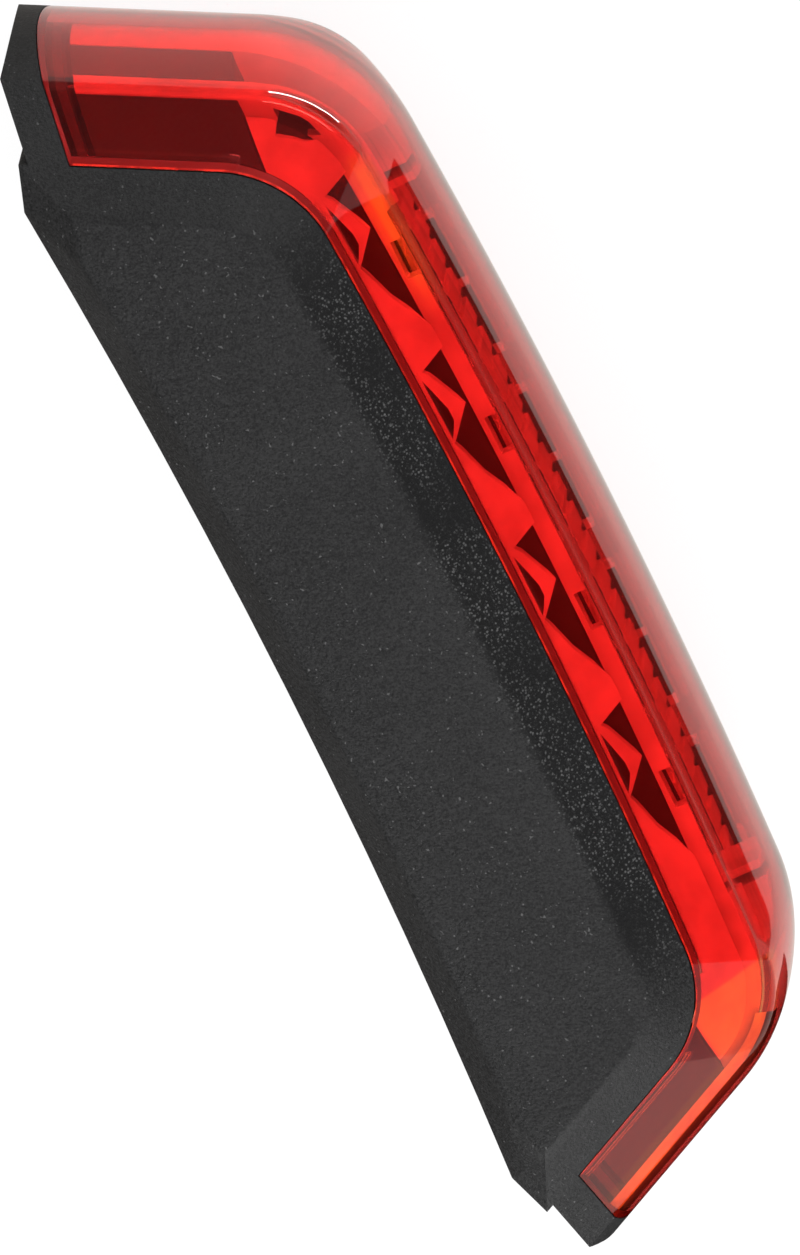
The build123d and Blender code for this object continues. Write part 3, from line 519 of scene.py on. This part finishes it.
# lens: a crown bulging between two side bands, with a softly broken near corner
lensShape = {
    "edgeGap": 0.1, "wall": 1.2, "cornerBreak": 0.45, "smoothAngle": 50,
    "bandRows": 5, "breakRows": 7, "crownRows": 24, "barRows": 8, "gapRows": 2,
    "columns": (20, 26, 44), "barFrom": 39.5, "hazeFrom": 36.0,
}
lensPaints = {
    "outer": lensRed, "inside": lensInside, "bar": lensGlowBar,
    "edge": lensEdgeAndHighlight, "haze": lensHaze, "gap": lensPaintedShade,
}


def lensRows(inset, sink, endShare):
    # rows of (z, front inset, end inset, corner radius) from the top panel's edge, over the near
    # corner and the crown, to the lower panel's edge: the band runs straight between its two ends,
    # and the crown's insets are the corner's less bulge * (1 - s^2), with s from 1 to -1
    shape = lensShape
    corner = form["corner"] - inset / 2
    crownZ = form["cornerHeight"] + form["slope"] * inset - sink
    foot = np.array([crownZ, inset, inset, corner])
    top = np.array([form["panelHeight"] - sink,
                    form["panelFront"], form["panelEnd"], form["panelCorner"]])
    edge = foot + (top - foot) * endShare
    bandLength = np.linalg.norm((edge - foot)[:2])
    stop = foot + (edge - foot) * shape["cornerBreak"] / bandLength
    band = edge + (stop - edge) * np.linspace(0, 1, shape["bandRows"], endpoint=False)[:, None]

    def crown(s):
        bulge = form["crownBulge"] * (1 - s**2)
        spread = (form["crownCorner"] - inset - corner) * (1 - s**2)
        return np.stack([s * crownZ, inset - bulge, inset - bulge, corner + spread], -1)

    # the corner's break is a quadratic curve from the band's stop to the crown's first row
    crownEnd = 1 - shape["cornerBreak"] / crownZ
    first, last = stop, crown(np.array([crownEnd]))[0]
    t = np.linspace(0, 1, shape["breakRows"], endpoint=False)[:, None]
    rounded = first * (1 - t) ** 2 + 2 * foot * t * (1 - t) + last * t**2
    middle = crown(np.linspace(crownEnd, -crownEnd, shape["crownRows"]))
    upper = np.concatenate([band, rounded])
    lower = upper[::-1] * np.array([-1, 1, 1, 1])
    return np.concatenate([upper, middle, lower])


def lensSkin(inset, sink):
    # each row's outline at its height; the skin ends a little short of the panel's edge
    share = 1 - lensShape["edgeGap"] / (form["panelFront"] - inset)
    rows = lensRows(inset, sink, share)
    plan = outlinePoints(rows[:, 1], rows[:, 2], rows[:, 3], lensShape["columns"])
    z = np.broadcast_to(rows[:, 0][:, None, None], plan.shape[:2] + (1,))
    return np.concatenate([plan, z], -1)


def makeLens():
    # the outer skin, and an inner one a wall's thickness inside it: inset by the wall, and lower by
    # wall * sqrt(1 + slope^2)
    s = lensShape
    outer = lensSkin(0.0, 0.0)
    inner = lensSkin(s["wall"], s["wall"] * math.sqrt(1 + form["slope"] ** 2))
    piece = turnOutwards(shell("lens_cover", outer, inner, s["smoothAngle"]))
    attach(piece, "light")
    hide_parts("lens")
    wear(piece, *lensPaints.values())
    # faces in order: outer skin, inner skin, edges; the inner skin is hazy in the crown's ends, and
    # has a painted glow bar and a dark strip of painted shade beside it inside the near corners of
    # the -X end
    paint = {name: index for index, name in enumerate(lensPaints)}
    rows, cols = outer.shape[:2]
    skin = (rows - 1) * (cols - 1)
    inside = np.full((rows - 1, cols - 1), paint["inside"], np.int32)
    first = s["bandRows"]
    bar, gap = first + s["barRows"], first + s["barRows"] + s["gapRows"]
    across = inner[0, :-1, 0]
    atEnd = across < -s["barFrom"]
    inside[bar:-bar, np.abs(across) > s["hazeFrom"]] = paint["haze"]
    # painted shade: a dark maroon strip where the space between the glow bar and the optic is in
    # shade
    inside[bar:gap, atEnd] = inside[-gap:-bar, atEnd] = paint["gap"]
    # painted glow: the orange bar stands in for the light guide's light
    inside[first:bar, atEnd] = inside[-bar:-first, atEnd] = paint["bar"]
    which = np.full(len(piece.data.polygons), paint["edge"], np.int32)
    which[:skin] = paint["outer"]
    which[skin:2 * skin] = inside.ravel()
    piece.data.polygons.foreach_set("material_index", which)


makeLens()
print("lens made")

# housing and the other pieces with CAD shapes
finishes = {
    "housing": blackSkin, "battery_door": blackSkin,
    "gasket_left": sealRubber, "gasket_right": sealRubber,
    "door_seal": sealRubber, "button_seal": sealRubber,
    "mount_inserts": brass, "door_screws": steel, "board_screws": steel,
    "contact_link": steel, "contact_positive": steel, "contact_negative": steel,
    "battery_upper": can, "battery_lower": can, "capacitor": can,
    "circuit_board": boardGreen, "controller_chip": chipBlack,
    "mode_switch": chipBlack, "switch_plunger": plungerWhite, "button": buttonBlack,
    "led_1": lampBody, "led_2": lampBody, "led_3": lampBody, "led_4": lampBody,
    "reflector_top": whiteGloss, "reflector_bottom": whiteGloss,
    "light_guide_top": guideClear, "light_guide_bottom": guideClear,
    "front_optic": opticPink, "carrier": innerBlack,
    "end_block_left": innerBlack, "end_block_right": innerBlack,
}
edgeRound = {"width": 0.18, "segments": 2, "angle": 24, "pieces": ("housing", "battery_door")}


def softenEdges(piece):
    # moulded edges are never knife sharp: a narrow round along each edge over an angle
    bevel = piece.modifiers.new("moulded_edge", "BEVEL")
    bevel.width = edgeRound["width"] * mm
    bevel.segments = edgeRound["segments"]
    bevel.limit_method = "ANGLE"
    bevel.angle_limit = math.radians(edgeRound["angle"])
    bevel.use_clamp_overlap = True
    bevel.harden_normals = True


for name, material in finishes.items():
    piece = smoothCopy(name)
    wear(piece, material)
    if name in edgeRound["pieces"]:
        softenEdges(piece)
print("CAD pieces dressed")


# floor, lights and camera
def sheetOf(name, corners):
    # one flat face through four corners
    return makeMesh(name, np.array(corners), [[0, 1, 2, 3]])


def makeStage():
    # white floor just under the housing: mostly glowing to the camera and through the lens, lit by
    # the lamps elsewhere, an even warm grey in reflections, and clear from below, so that the
    # underside can be looked at
    look = {"half": 1500, "under": 0.02, "glow": 0.85, "roughness": 0.9,
            "floor": (0.86, 0.86, 0.86, 1), "mirrored": (0.76, 0.70, 0.65, 1)}
    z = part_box("housing")[0][2] / mm - look["under"]
    half = look["half"]
    signs = [(-1, -1), (1, -1), (1, 1), (-1, 1)]
    floor = sheetOf("floor", [[half * a, half * b, z] for a, b in signs])
    m = Recipe("pale_floor")
    seen = (m.ray("Is Camera Ray") + m.ray("Is Transmission Ray")).clamp()
    lit = m.principled(Base_Color=look["floor"], Roughness=look["roughness"],
                       Specular_IOR_Level=0.0)
    glow = m.shine("ShaderNodeEmission", white, 1.0)
    mirrored = m.shine("ShaderNodeEmission", look["mirrored"], 1.0)
    top = m.choose(m.ray("Is Glossy Ray"), m.choose(seen * look["glow"], lit, glow), mirrored)
    below = m.node("ShaderNodeNewGeometry", output="Backfacing")
    wear(floor, m.done(m.choose(below, top, m.node("ShaderNodeBsdfTransparent"))))


def makeCards():
    # cards that only reflections see, as a studio sets them round a glossy form: a black one in
    # front of the lens, a pale one to the left, whose reflection veils the -X corner, and a black
    # one on the floor beside the -X end; each has its brightness and its corners in millimetres
    low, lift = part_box("housing")[0][2] / mm, 0.01
    z = low + lift
    cards = {
        "flag": (0.0, [[-53, -54, low], [28, -54, low], [28, -54, 70], [-53, -54, 70]]),
        "side_card": (0.43, [[-160, -1120, low], [-1120, 160, low],
                             [-1120, 160, 560], [-160, -1120, 560]]),
        "floor_flag": (0.0, [[-260, -34, z], [-52, -34, z], [-52, 75, z], [-260, 75, z]]),
    }
    for name, (bright, corners) in cards.items():
        card = sheetOf(name, corners)
        m = Recipe(name + "_paint")
        wear(card, m.done(m.shine("ShaderNodeEmission", white, bright)))
        card.visible_camera = card.visible_diffuse = False
        card.visible_shadow = card.visible_transmission = False


def makeWorld():
    # an even white room, dimmer where polished plastic mirrors it, and plain white to the camera
    room = {"lit": 0.35, "mirrored": 0.07, "seen": 1.0}
    m = Recipe("studio", bpy.data.worlds, "ShaderNodeOutputWorld")
    lit, mirrored, seen = (m.shine("ShaderNodeBackground", white, room[key]) for key in room)
    inside = m.choose(m.ray("Is Glossy Ray"), lit, mirrored)
    bpy.context.scene.world = m.done(m.choose(m.ray("Is Camera Ray"), inside, seen))


def makeCamera():
    # the photograph's view, from an outline fit; the lens is sensor * distance / height in view
    view = {"right": (-0.4316, -0.8994, -0.0709), "back": (0.281, -0.2087, 0.9367),
            "target": (-0.00069, -0.01131, 0.00819), "distance": 2.5, "tall": 0.1027,
            "sensor": 36.0, "clip": (0.5, 60.0)}
    back = Vector(view["back"]).normalized()
    up = back.cross(Vector(view["right"]).normalized()).normalized()
    right = up.cross(back)
    data = bpy.data.cameras.new("camera")
    data.lens = view["sensor"] * view["distance"] / view["tall"]
    data.clip_start, data.clip_end = view["clip"]
    camera = bpy.data.objects.new("camera", data)
    turn = Matrix((right, up, back)).transposed().to_4x4()
    place = Vector(view["target"]) + back * view["distance"]
    camera.matrix_world = Matrix.Translation(place) @ turn
    bpy.context.scene.collection.objects.link(camera)
    bpy.context.scene.camera = camera


def areaLight(name, place, target, size, power, diffuse=True):
    # a rectangle that looks from its place to its target; without diffuse it only adds highlights
    data = bpy.data.lights.new(name, "AREA")
    data.shape, data.size, data.size_y = "RECTANGLE", size[0], size[1]
    data.energy = power
    lamp = bpy.data.objects.new(name, data)
    bpy.context.scene.collection.objects.link(lamp)
    direction = Vector(target) - Vector(place)
    lamp.location = place
    lamp.rotation_euler = direction.to_track_quat("-Z", "Y").to_euler()
    lamp.visible_camera, lamp.visible_diffuse = False, diffuse


lamps = {
    "key": {"place": (0.28, -0.36, 0.82), "target": (0, -0.01, 0),
            "size": (0.5, 0.5), "power": 6.1},
    "fill": {"place": (-0.62, 0.05, 0.42), "target": (0, -0.01, 0),
             "size": (0.6, 0.6), "power": 8.2},
    "side": {"place": (-0.75, 0.3, 0.25), "target": (-0.04, 0, 0),
             "size": (0.5, 0.4), "power": 5.5},
    "rear": {"place": (0.6, 0.5, 0.2), "target": (0.01, 0, 0),
             "size": (0.5, 0.4), "power": 3.0},
    "strip": {"place": (0.37, -0.44, 0.08), "target": (0.043, -0.02, 0.009),
              "size": (0.5, 0.045), "power": 4.5, "diffuse": False},
}

makeStage()
makeCards()
makeWorld()
makeCamera()
for name, lamp in lamps.items():
    areaLight(name, **lamp)
bpy.context.scene.view_settings.view_transform = "Standard"
print("stage set")
